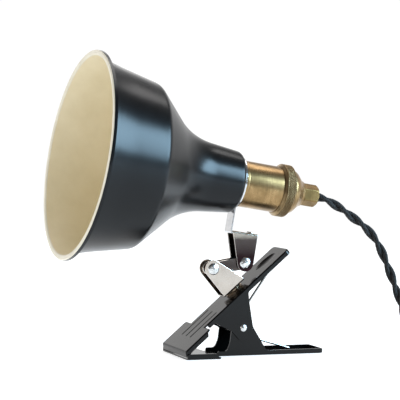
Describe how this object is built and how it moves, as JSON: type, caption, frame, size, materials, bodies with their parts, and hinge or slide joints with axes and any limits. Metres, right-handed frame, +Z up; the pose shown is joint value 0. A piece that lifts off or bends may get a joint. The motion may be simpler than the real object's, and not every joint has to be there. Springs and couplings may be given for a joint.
{
  "type": "clip-on reading lamp",
  "caption": "Clip-on reading lamp: a bell-shaped shade on a brass lamp holder, tilting and swivelling on a riveted knuckle above a sprung clip.",
  "frame": {"origin": "on the flat underside of the lower jaw, straight under the clip's pivot pin, on the plane of symmetry", "axes": "+Z up from the surface the clip lies on; +X towards the clip's handles and the cord, so the jaw tips and the open end of the shade face -X; +Y along the clip's pivot pin"},
  "size_m": [0.3867, 0.1996, 0.2472],
  "materials": {
    "clip_paint": "glossy black stove enamel",
    "bright_steel": "bright nickel plate",
    "spring_steel": "drawn spring wire, nickel plated",
    "aged_brass": "antique brass, lightly brushed",
    "grip_brass": "antique brass, dull",
    "shade_metal": "spun aluminium, satin black outside and cream inside",
    "plain_brass": "bright rolled brass",
    "porcelain": "glazed white insulator",
    "cord_cloth": "twisted pair in black braided cotton",
    "plug_plastic": "moulded black plastic",
    "tie_plastic": "black tie band"
  },
  "bodies": {
    "lower_jaw": {"lower_jaw": "clip_paint", "pivot_pin": "bright_steel", "clip_spring": "spring_steel"},
    "upper_jaw": {"upper_jaw": "clip_paint", "swivel_rivet": "bright_steel", "swivel_washer": "bright_steel", "spring_washer": "spring_steel", "bracket_washer": "bright_steel"},
    "lower_bracket": {"lower_bracket": "bright_steel", "lower_hinge_rivet": "bright_steel", "lower_hinge_washers": "bright_steel", "lower_hinge_spacer": "bright_steel"},
    "link": {"link": "bright_steel"},
    "head": {"upper_bracket": "bright_steel", "upper_hinge_rivet": "bright_steel", "upper_hinge_washers": "bright_steel", "upper_hinge_spacer": "bright_steel", "strap_bracket": "bright_steel", "strap_rivet": "bright_steel", "shade": "shade_metal", "shade_nut": "aged_brass", "socket_shell": "aged_brass", "porcelain_insert": "porcelain", "screw_shell": "plain_brass", "centre_contact": "plain_brass", "terminal_screws": "plain_brass", "knurled_ring": "aged_brass", "socket_cap": "aged_brass", "cord_grip": "grip_brass", "grip_nut": "plain_brass", "cord_tube": "cord_cloth", "cord_coil": "cord_cloth", "coil_tie": "tie_plastic", "cord_tail": "cord_cloth", "plug_body": "plug_plastic", "plug_blades": "plain_brass"}
  },
  "joints": [
    {"name": "clip_hinge", "type": "hinge", "parent": "lower_jaw", "child": "upper_jaw", "pos_m": [0, 0, 0.0232], "axis": [0, 1, 0], "range_deg": [0, 35], "stiffness_Nm_per_rad": 1.2, "springref_deg": -57.3, "deforming": ["clip_spring"]},
    {"name": "swivel", "type": "hinge", "parent": "upper_jaw", "child": "lower_bracket", "pos_m": [0.01308, 0, 0.03453], "axis": [-0.6547, 0, 0.7559], "range_deg": [-90, 90]},
    {"name": "lower_knuckle", "type": "hinge", "parent": "lower_bracket", "child": "link", "pos_m": [-0.02434, 0, 0.07131], "axis": [0, 1, 0], "range_deg": [-60, 7]},
    {"name": "upper_knuckle", "type": "hinge", "parent": "link", "child": "head", "pos_m": [0.00397, 0, 0.07615], "axis": [0, 1, 0], "range_deg": [-40, 45]}
  ]
}
